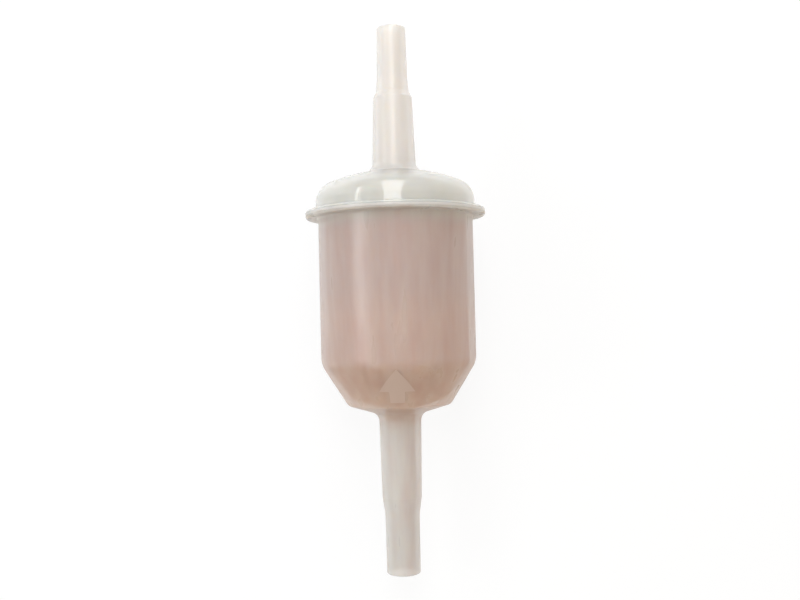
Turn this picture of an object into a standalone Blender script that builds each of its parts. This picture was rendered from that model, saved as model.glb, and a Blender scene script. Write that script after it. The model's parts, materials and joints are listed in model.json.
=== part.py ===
"""Inline fuel filter: a welded two-part moulded housing round a pleated paper element.

The filter is designed along its own axis, which is local +Z: the inlet spigot
starts at z = 0 and the outlet spigot ends at z = FILTER_LENGTH. An empty then lays
it down on its lid flange and on the lower edge of its cup, the way a loose filter
lies on a bench: outlet towards +Y, flow arrow facing up, floor at z = 0.

All sizes are metres. Fuel enters at the cup spigot, passes round the outside of
the paper, goes inwards through it, and leaves through the lid spigot.
"""

import math

import bmesh
import bpy
from mathutils import Vector

# Heights along the filter's axis, each from the one before
CUP_FLOOR_LEVEL = 0.0335
CONE_HEIGHT = 0.0083
CUP_WALL_HEIGHT = 0.0290
LID_WALL_HEIGHT = 0.0016
OUTLET_LENGTH = 0.02915

# Walls and clearances of the mouldings
WALL = 0.00136
FIT = 0.0003
EDGE_ROUND = 0.00025

# Cup
CUP_RADIUS = 0.01548
CUP_BEND_ROUND = 0.0050
CUP_FLOOR_RADIUS = 0.0103
CUP_FLOOR_ROUND = 0.0012
CUP_FLOOR_SLOPE = math.radians(17.0)

# Weld flanges of the cup and of the lid, which stand out from the cup's wall
FLANGE_WIDTH = 0.0025
FLANGE_THICKNESS = 0.00058
FLANGE_FILLET = 0.0005

# Lid, a little wider than the cup
LID_OVERHANG = 0.00047
LID_SHOULDER_ROUND = 0.0042
LID_CROWN_RADIUS = 0.036

# Inlet spigot, on the cup
INLET_TIP_RADIUS = 0.00335
INLET_NECK_RADIUS = 0.00342
INLET_NECK_LENGTH = 0.0116
INLET_STEP_LENGTH = 0.0035
INLET_STEP_BLEND = 0.012
INLET_STEP_RADIUS = 0.00392
INLET_SHOULDER_ROUND = 0.0006
INLET_ROOT_RADIUS = 0.00422
INLET_ROOT_FILLET = 0.0020

# Outlet spigot, on the lid
OUTLET_TIP_RADIUS = 0.00290
OUTLET_NECK_RADIUS = 0.00307
OUTLET_NECK_LENGTH = 0.0102
OUTLET_FLARE_RADIUS = 0.00334
OUTLET_FLARE_LENGTH = 0.0029
OUTLET_STEP_LENGTH = 0.0011
OUTLET_STEP_RADIUS = 0.00390
OUTLET_ROOT_RADIUS = 0.00442
OUTLET_ROOT_FILLET = 0.0022

# Walls of the spigots, at their tips and inside the wide part
SPIGOT_TIP_WALL = 0.00097
SPIGOT_ROOT_WALL = 0.00105

# Collar under the lid that carries the clean fuel out of the element
COLLAR_RADIUS = 0.0045
COLLAR_WALL = 0.0014
COLLAR_ENGAGEMENT = 0.0005

# Ribs that hold the element between the cup and the lid
RIB_THICKNESS = 0.0010
RIB_PAIRS = 3
CUP_RIB_INNER_RADIUS = 0.0060
RIB_ROOT = 0.0005

# Flow arrow raised on the cone of the cup
ARROW_HEIGHT = 0.00035
ARROW_DROP = 0.0006
ARROW_HEAD_LENGTH = 0.0043
ARROW_SHAFT_LENGTH = 0.0022
ARROW_HEAD_HALF_WIDTH = 0.0034
ARROW_SHAFT_HALF_WIDTH = 0.0015
ARROW_TURN = math.radians(-2.0)

# Paper element and its end caps
ELEMENT_CLEARANCE = 0.0007
PLEATS = 28
PAPER_THICKNESS = 0.0004
PLEAT_TIP_ROUND = 0.00042
CAP_THICKNESS = 0.0008
CAP_RIM_THICKNESS = 0.0005
CAP_RIM_HEIGHT = 0.0022
CAP_CHAMFER = 0.0006
CAP_LIFT = 0.0002
GLUE_THICKNESS = 0.0005
NECK_HEIGHT = 0.0028
NECK_THICKNESS = 0.0009

# Slotted core tube inside the pleats
CORE_RADIUS = 0.0063
CORE_WALL = 0.0010
CORE_CLEARANCE = 0.0011
CORE_SLOT_WIDTH = 0.0030
CORE_SLOT_HEIGHT = 0.0042
CORE_SLOT_PAIRS = 3
CORE_SLOT_ROWS = 4

# Seal ring between the lid collar and the neck of the upper cap
SEAL_SECTION = 0.0012

# Facets round the axis
SHELL_FACETS = 48
INNER_FACETS = 32
MERGE = 0.00001

# Radii that follow from the sizes above
CUP_INNER_RADIUS = CUP_RADIUS - WALL
FLANGE_RADIUS = CUP_RADIUS + FLANGE_WIDTH
LID_RADIUS = CUP_RADIUS + LID_OVERHANG
LID_INNER_RADIUS = LID_RADIUS - WALL
INLET_BORE_RADIUS = INLET_TIP_RADIUS - SPIGOT_TIP_WALL
INLET_THROAT_RADIUS = INLET_STEP_RADIUS - SPIGOT_ROOT_WALL
OUTLET_BORE_RADIUS = OUTLET_TIP_RADIUS - SPIGOT_TIP_WALL
OUTLET_THROAT_RADIUS = OUTLET_STEP_RADIUS - SPIGOT_ROOT_WALL
COLLAR_BORE_RADIUS = COLLAR_RADIUS - COLLAR_WALL
CAP_RADIUS = CUP_INNER_RADIUS - ELEMENT_CLEARANCE
PAPER_OUTER_RADIUS = CAP_RADIUS - CAP_RIM_THICKNESS - FIT
PAPER_INNER_RADIUS = CORE_RADIUS + CORE_CLEARANCE
GLUE_INNER_RADIUS = CORE_RADIUS + FIT
SEAL_MIDDLE_RADIUS = COLLAR_RADIUS + FIT + SEAL_SECTION / 2
NECK_INNER_RADIUS = COLLAR_RADIUS + FIT + SEAL_SECTION + FIT
NECK_RADIUS = NECK_INNER_RADIUS + NECK_THICKNESS
LID_RIB_INNER_RADIUS = NECK_RADIUS + FIT

# Levels of the mouldings
CUP_BEND_LEVEL = CUP_FLOOR_LEVEL + CONE_HEIGHT
FLANGE_LEVEL = CUP_BEND_LEVEL + CUP_WALL_HEIGHT
CUP_FLANGE_TOP = FLANGE_LEVEL + FLANGE_THICKNESS
LID_FLANGE_BOTTOM = CUP_FLANGE_TOP + FIT
LID_FLANGE_TOP = LID_FLANGE_BOTTOM + FLANGE_THICKNESS
LID_WALL_TOP = LID_FLANGE_TOP + LID_WALL_HEIGHT
CONE_ANGLE = math.atan2(CUP_RADIUS - CUP_FLOOR_RADIUS, CONE_HEIGHT)
SHOULDER_CENTRE = LID_RADIUS - LID_SHOULDER_ROUND
CROWN_ANGLE = math.asin(SHOULDER_CENTRE / (LID_CROWN_RADIUS - LID_SHOULDER_ROUND))
CROWN_CENTRE = LID_WALL_TOP - (LID_CROWN_RADIUS - LID_SHOULDER_ROUND) * math.cos(CROWN_ANGLE)
OUTLET_ROOT_LEVEL = CROWN_CENTRE + math.sqrt(LID_CROWN_RADIUS ** 2 - OUTLET_ROOT_RADIUS ** 2)
FILTER_LENGTH = OUTLET_ROOT_LEVEL + OUTLET_LENGTH
ARROW_TIP_LEVEL = CUP_BEND_LEVEL - ARROW_DROP
ARROW_BARB_LEVEL = ARROW_TIP_LEVEL - ARROW_HEAD_LENGTH
ARROW_TAIL_LEVEL = ARROW_BARB_LEVEL - ARROW_SHAFT_LENGTH

# Levels of the element, from the cup's cone up to the lid's ribs
LOWER_CAP_LEVEL = CUP_BEND_LEVEL - CAP_LIFT
LOWER_CAP_FLOOR = LOWER_CAP_LEVEL + CAP_THICKNESS
LOWER_GLUE_LEVEL = LOWER_CAP_FLOOR + FIT
PAPER_BOTTOM = LOWER_GLUE_LEVEL + GLUE_THICKNESS + FIT
LID_RIB_BOTTOM = FLANGE_LEVEL - FLANGE_THICKNESS
UPPER_CAP_TOP = LID_RIB_BOTTOM - FIT
UPPER_CAP_FLOOR = UPPER_CAP_TOP - CAP_THICKNESS
UPPER_GLUE_LEVEL = UPPER_CAP_FLOOR - FIT - GLUE_THICKNESS
PAPER_TOP = UPPER_GLUE_LEVEL - FIT
CORE_BOTTOM = LOWER_CAP_FLOOR + FIT
CORE_TOP = UPPER_CAP_FLOOR - FIT


def start_scene():
    """Remove what the scene holds and make the part's collection and the guides'."""
    for old in list(bpy.data.objects):
        bpy.data.objects.remove(old, do_unlink=True)
    parts = bpy.data.collections.new("inline_fuel_filter")
    guides = bpy.data.collections.new("guides")
    bpy.context.scene.collection.children.link(parts)
    bpy.context.scene.collection.children.link(guides)
    return parts, guides


def material(name, colour, roughness, alpha=1.0):
    """A plastic, paper or rubber finish."""
    finish = bpy.data.materials.new(name)
    finish.use_nodes = True
    shader = finish.node_tree.nodes["Principled BSDF"]
    shader.inputs["Base Color"].default_value = (*colour, 1.0)
    shader.inputs["Roughness"].default_value = roughness
    shader.inputs["Metallic"].default_value = 0.0
    shader.inputs["Alpha"].default_value = alpha
    return finish


def arc(centre_r, centre_z, radius, start, end, steps):
    """Points of an arc in the profile plane, its angles measured from straight up."""
    points = []
    for i in range(steps + 1):
        angle = start + (end - start) * i / steps
        points.append((centre_r + radius * math.sin(angle), centre_z + radius * math.cos(angle)))
    return points


def rounded(before, corner, after, radius, steps):
    """The arc that rounds the corner of a profile between two of its neighbours."""
    corner = Vector(corner)
    to_before = (Vector(before) - corner).normalized()
    to_after = (Vector(after) - corner).normalized()
    half = to_before.angle(to_after) / 2
    reach = radius / math.tan(half)
    centre = corner + (to_before + to_after).normalized() * radius / math.sin(half)
    first = corner + to_before * reach - centre
    last = corner + to_after * reach - centre
    sweep = first.angle_signed(last)
    points = []
    for i in range(steps + 1):
        turn = -sweep * i / steps
        cos, sin = math.cos(turn), math.sin(turn)
        points.append((centre.x + first.x * cos - first.y * sin,
                       centre.y + first.x * sin + first.y * cos))
    return points


def round_corners(corners):
    """A closed profile from (radius, level, rounding, steps) corners."""
    points = []
    for i, (r, z, rounding, steps) in enumerate(corners):
        if rounding == 0:
            points.append((r, z))
            continue
        before = corners[i - 1][:2]
        after = corners[(i + 1) % len(corners)][:2]
        points += rounded(before, (r, z), after, rounding, steps)
    return points


def turned(name, profile, facets, collection, finish=None):
    """Turn a closed profile round the axis, with a facet square to +X, -X, +Y and -Y."""
    half_facet = math.pi / facets
    mesh = bpy.data.meshes.new(name)
    shape = bmesh.new()
    ring = []
    for r, z in profile:
        ring.append(shape.verts.new((r * math.cos(half_facet), r * math.sin(half_facet), z)))
    for i, vert in enumerate(ring):
        following = ring[(i + 1) % len(ring)]
        if max(vert.co.x, following.co.x) > MERGE:
            shape.edges.new((vert, following))
    shape.to_mesh(mesh)
    shape.free()
    piece = bpy.data.objects.new(name, mesh)
    collection.objects.link(piece)
    screw = piece.modifiers.new("turn", "SCREW")
    screw.axis = "Z"
    screw.angle = math.tau
    screw.steps = facets
    screw.render_steps = facets
    screw.use_merge_vertices = True
    screw.merge_threshold = MERGE
    screw.use_smooth_shade = True
    if finish is not None:
        mesh.materials.append(finish)
    return piece


def guide(piece):
    """Mark an object as a cutter or joining shape, which isn't a part."""
    piece.hide_render = True
    piece.display_type = "WIRE"
    return piece


def combine(piece, tool, operation):
    """Cut, join or intersect a piece with a guide."""
    step = piece.modifiers.new(tool.name, "BOOLEAN")
    step.operation = operation
    step.solver = "EXACT"
    step.object = tool


def crossed_plates(name, thickness, length, bottom, top, pairs, collection):
    """Upright plates through the axis, joined into one star for ribs or slots."""
    shape = bmesh.new()
    for i in range(pairs):
        made = bmesh.ops.create_cube(shape, size=1.0)["verts"]
        bmesh.ops.scale(shape, vec=(length, thickness, top - bottom), verts=made)
        bmesh.ops.translate(shape, vec=(0, 0, (top + bottom) / 2), verts=made)
        turn = math.pi * i / pairs
        for vert in made:
            x, y, z = vert.co
            vert.co = (x * math.cos(turn) - y * math.sin(turn),
                       x * math.sin(turn) + y * math.cos(turn), z)
    mesh = bpy.data.meshes.new(name)
    shape.to_mesh(mesh)
    shape.free()
    plates = bpy.data.objects.new(name, mesh)
    collection.objects.link(plates)
    return guide(plates)


def cone_radius(level, offset=0.0):
    """Outer radius of the cup's cone at a level, moved out square to its face."""
    return CUP_RADIUS - (CUP_BEND_LEVEL - level) * math.tan(CONE_ANGLE) + offset / math.cos(CONE_ANGLE)


def crown_and_shoulder(depth, inner_radius, steps=4):
    """The lid's crown from a radius outwards and its shoulder down to the wall."""
    curve = LID_CROWN_RADIUS - depth
    start = math.asin(inner_radius / curve)
    crown = arc(0, CROWN_CENTRE, curve, start, CROWN_ANGLE, 2)
    shoulder = arc(SHOULDER_CENTRE, LID_WALL_TOP, LID_SHOULDER_ROUND - depth,
                   CROWN_ANGLE, math.pi / 2, steps)
    return crown[:-1] + shoulder


def floor_level(radius, depth=0.0):
    """Level of the cup's shallow floor at a radius, or of a face at a depth in its wall."""
    outer = CUP_FLOOR_LEVEL - (CUP_FLOOR_RADIUS - radius) * math.tan(CUP_FLOOR_SLOPE)
    return outer + depth / math.cos(CUP_FLOOR_SLOPE)


def floor_corner(depth):
    """Where the cone and the floor of the cup meet at a depth in their wall."""
    narrowing = math.cos(CONE_ANGLE) - math.sin(CUP_FLOOR_SLOPE)
    level = CUP_FLOOR_LEVEL + depth * narrowing / math.cos(CONE_ANGLE + CUP_FLOOR_SLOPE)
    return cone_radius(level, -depth), level


def cup_profile():
    """Closed section of the cup: flange, wall, cone, floor, inlet spigot and its bore."""
    step_level = INLET_NECK_LENGTH + INLET_STEP_LENGTH
    root_level = floor_level(INLET_ROOT_RADIUS)
    inner_bend = CUP_BEND_LEVEL - WALL * math.tan(CONE_ANGLE / 2)
    return round_corners([
        (CUP_INNER_RADIUS, CUP_FLANGE_TOP, 0, 0),
        (FLANGE_RADIUS, CUP_FLANGE_TOP, EDGE_ROUND * 0.6, 2),
        (FLANGE_RADIUS, FLANGE_LEVEL, EDGE_ROUND, 3),
        (CUP_RADIUS, FLANGE_LEVEL, FLANGE_FILLET, 3),
        (CUP_RADIUS, CUP_BEND_LEVEL, CUP_BEND_ROUND, 4),
        (CUP_FLOOR_RADIUS, CUP_FLOOR_LEVEL, CUP_FLOOR_ROUND, 3),
        (INLET_ROOT_RADIUS, root_level, INLET_ROOT_FILLET, 4),
        (INLET_STEP_RADIUS, step_level, INLET_SHOULDER_ROUND, 2),
        (INLET_NECK_RADIUS, INLET_NECK_LENGTH, INLET_STEP_BLEND, 4),
        (INLET_TIP_RADIUS, 0, EDGE_ROUND, 3),
        (INLET_BORE_RADIUS, 0, EDGE_ROUND * 0.6, 2),
        (INLET_BORE_RADIUS, INLET_NECK_LENGTH, 0, 0),
        (INLET_THROAT_RADIUS, step_level, 0, 0),
        (INLET_THROAT_RADIUS, floor_level(INLET_THROAT_RADIUS, WALL), EDGE_ROUND, 2),
        (*floor_corner(WALL), 0, 0),
        (CUP_INNER_RADIUS, inner_bend, 0, 0),
    ])


def make_cup(parts, guides, finish):
    """The cup moulding: turned shell, six inner ribs and the raised flow arrow."""
    cup = turned("housing_cup", cup_profile(), SHELL_FACETS, parts, finish)

    rib_top = LOWER_CAP_LEVEL - FIT
    rib_low = floor_level(CUP_RIB_INNER_RADIUS)
    depth = WALL - RIB_ROOT
    envelope = turned("cup_rib_envelope", [
        (CUP_RIB_INNER_RADIUS, rib_top),
        (cone_radius(rib_top, -depth), rib_top),
        floor_corner(depth),
        (CUP_RIB_INNER_RADIUS, floor_level(CUP_RIB_INNER_RADIUS, depth)),
    ], SHELL_FACETS, guides)
    guide(envelope)
    ribs = crossed_plates("cup_ribs", RIB_THICKNESS, 2 * CUP_RADIUS, rib_low - WALL, rib_top + WALL,
                          RIB_PAIRS, guides)
    combine(ribs, envelope, "INTERSECT")
    combine(cup, ribs, "UNION")

    skin = turned("arrow_skin", [
        (cone_radius(ARROW_TIP_LEVEL + WALL, ARROW_HEIGHT), ARROW_TIP_LEVEL + WALL),
        (cone_radius(CUP_FLOOR_LEVEL, ARROW_HEIGHT), CUP_FLOOR_LEVEL),
        (cone_radius(CUP_FLOOR_LEVEL, -RIB_ROOT), CUP_FLOOR_LEVEL),
        (cone_radius(ARROW_TIP_LEVEL + WALL, -RIB_ROOT), ARROW_TIP_LEVEL + WALL),
    ], SHELL_FACETS, guides)
    guide(skin)
    arrow = make_arrow_prism(guides)
    combine(arrow, skin, "INTERSECT")
    combine(cup, arrow, "UNION")
    return cup


def make_arrow_prism(guides):
    """The arrow's flat outline, pushed through the front of the cone."""
    outline = [
        (0, ARROW_TIP_LEVEL),
        (ARROW_HEAD_HALF_WIDTH, ARROW_BARB_LEVEL),
        (ARROW_SHAFT_HALF_WIDTH, ARROW_BARB_LEVEL),
        (ARROW_SHAFT_HALF_WIDTH, ARROW_TAIL_LEVEL),
        (-ARROW_SHAFT_HALF_WIDTH, ARROW_TAIL_LEVEL),
        (-ARROW_SHAFT_HALF_WIDTH, ARROW_BARB_LEVEL),
        (-ARROW_HEAD_HALF_WIDTH, ARROW_BARB_LEVEL),
    ]
    curve = bpy.data.curves.new("arrow_outline", "CURVE")
    curve.dimensions = "2D"
    curve.fill_mode = "BOTH"
    curve.extrude = CUP_RADIUS / 2
    spline = curve.splines.new("POLY")
    spline.points.add(len(outline) - 1)
    for point, (x, z) in zip(spline.points, outline):
        point.co = (x, z, 0, 1)
    spline.use_cyclic_u = True
    drawn = bpy.data.objects.new("arrow_outline", curve)
    guides.objects.link(drawn)
    drawn.rotation_euler = (math.radians(90), 0, ARROW_TURN)
    out = CUP_RADIUS / 2 + ARROW_SHAFT_HALF_WIDTH
    drawn.location = (out * math.sin(ARROW_TURN), -out * math.cos(ARROW_TURN), 0)
    bpy.context.view_layer.update()
    solid = bpy.data.meshes.new_from_object(drawn.evaluated_get(bpy.context.evaluated_depsgraph_get()))
    shape = bmesh.new()
    shape.from_mesh(solid)
    bmesh.ops.remove_doubles(shape, verts=shape.verts, dist=MERGE)
    bmesh.ops.recalc_face_normals(shape, faces=shape.faces)
    shape.to_mesh(solid)
    shape.free()
    prism = bpy.data.objects.new("arrow_prism", solid)
    prism.matrix_world = drawn.matrix_world
    guides.objects.link(prism)
    bpy.data.objects.remove(drawn)
    return guide(prism)


def lid_profile():
    """Closed section of the lid: outlet spigot, crown, wall, flange, collar and bore."""
    neck_level = FILTER_LENGTH - OUTLET_NECK_LENGTH
    flare_level = neck_level - OUTLET_FLARE_LENGTH
    step_level = flare_level - OUTLET_STEP_LENGTH
    collar_bottom = UPPER_CAP_TOP - COLLAR_ENGAGEMENT
    ceiling = crown_and_shoulder(WALL, COLLAR_RADIUS)
    crown = crown_and_shoulder(0, OUTLET_ROOT_RADIUS + OUTLET_ROOT_FILLET, 7)
    spigot = [
        (OUTLET_BORE_RADIUS, FILTER_LENGTH, EDGE_ROUND * 0.6, 2),
        (OUTLET_TIP_RADIUS, FILTER_LENGTH, EDGE_ROUND, 3),
        (OUTLET_NECK_RADIUS, neck_level, 0, 0),
        (OUTLET_FLARE_RADIUS, flare_level, 0, 0),
        (OUTLET_STEP_RADIUS, step_level, EDGE_ROUND, 2),
        (OUTLET_ROOT_RADIUS, OUTLET_ROOT_LEVEL, OUTLET_ROOT_FILLET, 4),
    ]
    shell = [(r, z, 0, 0) for r, z in crown]
    flange = [
        (LID_RADIUS, LID_FLANGE_TOP, FLANGE_FILLET * 0.6, 2),
        (FLANGE_RADIUS, LID_FLANGE_TOP, EDGE_ROUND, 3),
        (FLANGE_RADIUS, LID_FLANGE_BOTTOM, EDGE_ROUND * 0.6, 2),
        (LID_INNER_RADIUS, LID_FLANGE_BOTTOM, 0, 0),
    ]
    inside = [(r, z, 0, 0) for r, z in reversed(ceiling)]
    collar = [
        (COLLAR_RADIUS, collar_bottom, EDGE_ROUND, 2),
        (COLLAR_BORE_RADIUS, collar_bottom, EDGE_ROUND, 2),
        (OUTLET_THROAT_RADIUS, step_level, 0, 0),
        (OUTLET_BORE_RADIUS, flare_level, 0, 0),
    ]
    return round_corners(spigot + shell + flange + inside + collar)


def make_lid(parts, guides, finish):
    """The lid moulding: turned shell with six ribs that hold the element down."""
    lid = turned("housing_lid", lid_profile(), SHELL_FACETS, parts, finish)
    pilot = CUP_INNER_RADIUS - FIT
    joint = LID_FLANGE_BOTTOM + RIB_ROOT / 2
    depth = WALL - RIB_ROOT
    roof = crown_and_shoulder(depth, LID_RIB_INNER_RADIUS)
    envelope = turned("lid_rib_envelope", roof + [
        (LID_RADIUS - depth, joint),
        (pilot, joint),
        (pilot, LID_RIB_BOTTOM),
        (LID_RIB_INNER_RADIUS, LID_RIB_BOTTOM),
    ], SHELL_FACETS, guides)
    guide(envelope)
    ribs = crossed_plates("lid_ribs", RIB_THICKNESS, 2 * LID_RADIUS, LID_RIB_BOTTOM - WALL,
                          LID_WALL_TOP + LID_SHOULDER_ROUND + WALL, RIB_PAIRS, guides)
    combine(ribs, envelope, "INTERSECT")
    combine(lid, ribs, "UNION")
    return lid


def pleat_line():
    """The folded sheet's middle line in plan: straight flanks between rounded folds."""
    points = []
    pitch = math.tau / PLEATS
    for i in range(PLEATS):
        for radius, inward, angle in ((PAPER_OUTER_RADIUS, -1, pitch * i),
                                      (PAPER_INNER_RADIUS, 1, pitch * (i + 0.5))):
            bend = PLEAT_TIP_ROUND - PAPER_THICKNESS / 2
            middle = radius + inward * PLEAT_TIP_ROUND
            for swing in (-1, 0, 1):
                across = swing * bend
                along = middle - inward * (bend if swing == 0 else 0)
                points.append((along * math.cos(angle) - inward * -across * math.sin(angle),
                               along * math.sin(angle) + inward * -across * math.cos(angle)))
    return points


def make_paper(parts, finish):
    """The pleated paper: one closed folded sheet with the thickness of the paper."""
    mesh = bpy.data.meshes.new("filter_paper")
    shape = bmesh.new()
    low = [shape.verts.new((x, y, PAPER_BOTTOM)) for x, y in pleat_line()]
    high = [shape.verts.new((x, y, PAPER_TOP)) for x, y in pleat_line()]
    for i in range(len(low)):
        j = (i + 1) % len(low)
        shape.faces.new((low[i], low[j], high[j], high[i]))
    bmesh.ops.recalc_face_normals(shape, faces=shape.faces)
    shape.to_mesh(mesh)
    shape.free()
    paper = bpy.data.objects.new("filter_paper", mesh)
    parts.objects.link(paper)
    thick = paper.modifiers.new("sheet", "SOLIDIFY")
    thick.thickness = PAPER_THICKNESS
    thick.offset = 0
    thick.use_even_offset = True
    mesh.materials.append(finish)
    return paper


def make_lower_cap(parts, finish):
    """Closed end cap: a shallow pan that holds the lower ends of the pleats."""
    rim_top = LOWER_CAP_FLOOR + CAP_RIM_HEIGHT
    inside = CAP_RADIUS - CAP_RIM_THICKNESS
    return turned("element_lower_cap", [
        (0, LOWER_CAP_FLOOR),
        (inside, LOWER_CAP_FLOOR),
        (inside, rim_top),
        (CAP_RADIUS, rim_top),
        (CAP_RADIUS, LOWER_CAP_LEVEL + CAP_CHAMFER),
        (CAP_RADIUS - CAP_CHAMFER, LOWER_CAP_LEVEL),
        (0, LOWER_CAP_LEVEL),
    ], INNER_FACETS, parts, finish)


def make_upper_cap(parts, finish):
    """Open end cap: a ring over the upper ends of the pleats, with the outlet neck."""
    rim_bottom = UPPER_CAP_FLOOR - CAP_RIM_HEIGHT
    inside = CAP_RADIUS - CAP_RIM_THICKNESS
    neck_top = UPPER_CAP_TOP + NECK_HEIGHT
    hole = COLLAR_RADIUS + FIT
    return turned("element_upper_cap", [
        (hole, UPPER_CAP_TOP),
        (NECK_INNER_RADIUS, UPPER_CAP_TOP),
        (NECK_INNER_RADIUS, neck_top),
        (NECK_RADIUS, neck_top),
        (NECK_RADIUS, UPPER_CAP_TOP),
        (CAP_RADIUS - CAP_CHAMFER / 2, UPPER_CAP_TOP),
        (CAP_RADIUS, UPPER_CAP_TOP - CAP_CHAMFER / 2),
        (CAP_RADIUS, rim_bottom),
        (inside, rim_bottom),
        (inside, UPPER_CAP_FLOOR),
        (hole, UPPER_CAP_FLOOR),
    ], INNER_FACETS, parts, finish)


def make_glue(name, level, parts, finish):
    """A bed of adhesive that the ends of the pleats stand in."""
    return turned(name, [
        (GLUE_INNER_RADIUS, level + GLUE_THICKNESS),
        (PAPER_OUTER_RADIUS, level + GLUE_THICKNESS),
        (PAPER_OUTER_RADIUS, level),
        (GLUE_INNER_RADIUS, level),
    ], INNER_FACETS, parts, finish)


def make_core(parts, guides, finish):
    """Slotted tube that keeps the pleats from folding inwards."""
    core = turned("support_core", [
        (CORE_RADIUS - CORE_WALL, CORE_TOP),
        (CORE_RADIUS, CORE_TOP),
        (CORE_RADIUS, CORE_BOTTOM),
        (CORE_RADIUS - CORE_WALL, CORE_BOTTOM),
    ], INNER_FACETS, parts, finish)
    row_pitch = (CORE_TOP - CORE_BOTTOM) / CORE_SLOT_ROWS
    for row in range(CORE_SLOT_ROWS):
        middle = CORE_BOTTOM + row_pitch * (row + 0.5)
        slots = crossed_plates(f"core_slots_{row}", CORE_SLOT_WIDTH, 4 * CORE_RADIUS,
                               middle - CORE_SLOT_HEIGHT / 2, middle + CORE_SLOT_HEIGHT / 2,
                               CORE_SLOT_PAIRS, guides)
        combine(core, slots, "DIFFERENCE")
    return core


def make_seal(parts, finish):
    """Round rubber ring between the lid's collar and the upper cap's neck."""
    middle = UPPER_CAP_TOP + FIT + SEAL_SECTION / 2
    section = arc(SEAL_MIDDLE_RADIUS, middle, SEAL_SECTION / 2, 0, math.tau, 8)[:-1]
    return turned("outlet_seal", section, INNER_FACETS, parts, finish)


def resting_tilt(profile):
    """How far the lid end rises, and the point of the flange that bears on the floor."""
    widest = max(r for r, z in profile)
    rim = min((z, r) for r, z in profile if r > widest - MERGE)
    rim = (rim[1], rim[0])
    facet = math.cos(math.pi / SHELL_FACETS)
    slopes = [(rim[0] - r) * facet / (rim[1] - z) for r, z in profile if z < rim[1] - WALL]
    return math.atan(min(slopes)), (rim[0] * facet, rim[1])


def lay_down(pieces, parts, profile):
    """Carry every piece on an empty that lays the filter on its flange and cup edge."""
    tilt, (rim_radius, rim_level) = resting_tilt(profile)
    facet = math.cos(math.pi / SHELL_FACETS)
    low_end = -(INLET_TIP_RADIUS - EDGE_ROUND) * facet * math.sin(tilt)
    high_end = (FILTER_LENGTH * math.cos(tilt)
                + (OUTLET_TIP_RADIUS - EDGE_ROUND) * facet * math.sin(tilt))
    carrier = bpy.data.objects.new("filter_axis", None)
    parts.objects.link(carrier)
    carrier.rotation_euler = (tilt - math.pi / 2, 0, 0)
    carrier.location = (0, -(low_end + high_end) / 2,
                        rim_radius * math.cos(tilt) - rim_level * math.sin(tilt))
    for piece in pieces:
        piece.parent = carrier
    bpy.context.view_layer.update()


def main():
    parts, guides = start_scene()
    nylon_cup = material("translucent_nylon_cup", (0.52, 0.38, 0.33), 0.35, 0.75)
    nylon_lid = material("translucent_nylon_lid", (0.68, 0.67, 0.60), 0.3, 0.75)
    paper = material("filter_paper", (0.50, 0.33, 0.25), 0.9)
    resin = material("end_cap_resin", (0.45, 0.32, 0.25), 0.6)
    glue = material("pleat_adhesive", (0.55, 0.42, 0.30), 0.4)
    white = material("core_plastic", (0.75, 0.72, 0.66), 0.5)
    rubber = material("seal_rubber", (0.03, 0.03, 0.03), 0.7)

    pieces = [
        make_cup(parts, guides, nylon_cup),
        make_lid(parts, guides, nylon_lid),
        make_paper(parts, paper),
        make_lower_cap(parts, resin),
        make_upper_cap(parts, resin),
        make_glue("lower_adhesive", LOWER_GLUE_LEVEL, parts, glue),
        make_glue("upper_adhesive", UPPER_GLUE_LEVEL, parts, glue),
        make_core(parts, guides, white),
        make_seal(parts, rubber),
    ]
    carried = pieces + list(guides.objects)
    lay_down(carried, parts, cup_profile())


main()
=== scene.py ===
"""Looks of the inline fuel filter: milky moulded shells round a pleated paper element.

The shells are turned again with fine rings, the pleats get their folds and creases,
and the inner pieces of the frame get their finishes. Sizes are metres, and each turned
section is drawn along the filter's own axis from the inlet tip (0) to the outlet tip.
"""

import json
import math

import bmesh
import bpy
from mathutils import Matrix, Vector


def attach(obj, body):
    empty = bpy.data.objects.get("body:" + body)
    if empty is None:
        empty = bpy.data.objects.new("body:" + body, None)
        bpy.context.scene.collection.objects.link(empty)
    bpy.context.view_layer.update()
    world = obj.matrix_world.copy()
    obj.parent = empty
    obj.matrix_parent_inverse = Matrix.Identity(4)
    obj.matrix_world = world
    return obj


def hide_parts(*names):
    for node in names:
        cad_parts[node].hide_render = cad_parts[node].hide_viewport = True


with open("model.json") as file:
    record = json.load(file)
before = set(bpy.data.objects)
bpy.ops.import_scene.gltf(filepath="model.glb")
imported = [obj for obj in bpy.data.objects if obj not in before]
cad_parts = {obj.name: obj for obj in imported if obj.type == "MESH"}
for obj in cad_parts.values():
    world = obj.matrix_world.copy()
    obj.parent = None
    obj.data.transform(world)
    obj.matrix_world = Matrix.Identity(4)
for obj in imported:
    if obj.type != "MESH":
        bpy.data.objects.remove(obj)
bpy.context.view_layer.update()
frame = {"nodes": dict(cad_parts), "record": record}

# Heights along the filter's axis, each from the one before
CUP_FLOOR_LEVEL = 0.0335
CONE_HEIGHT = 0.0083
CUP_WALL_HEIGHT = 0.0290
LID_WALL_HEIGHT = 0.0016
OUTLET_LENGTH = 0.02915

# Walls and clearances of the mouldings
WALL = 0.00136
FIT = 0.0003
EDGE_ROUND = 0.00025

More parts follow.
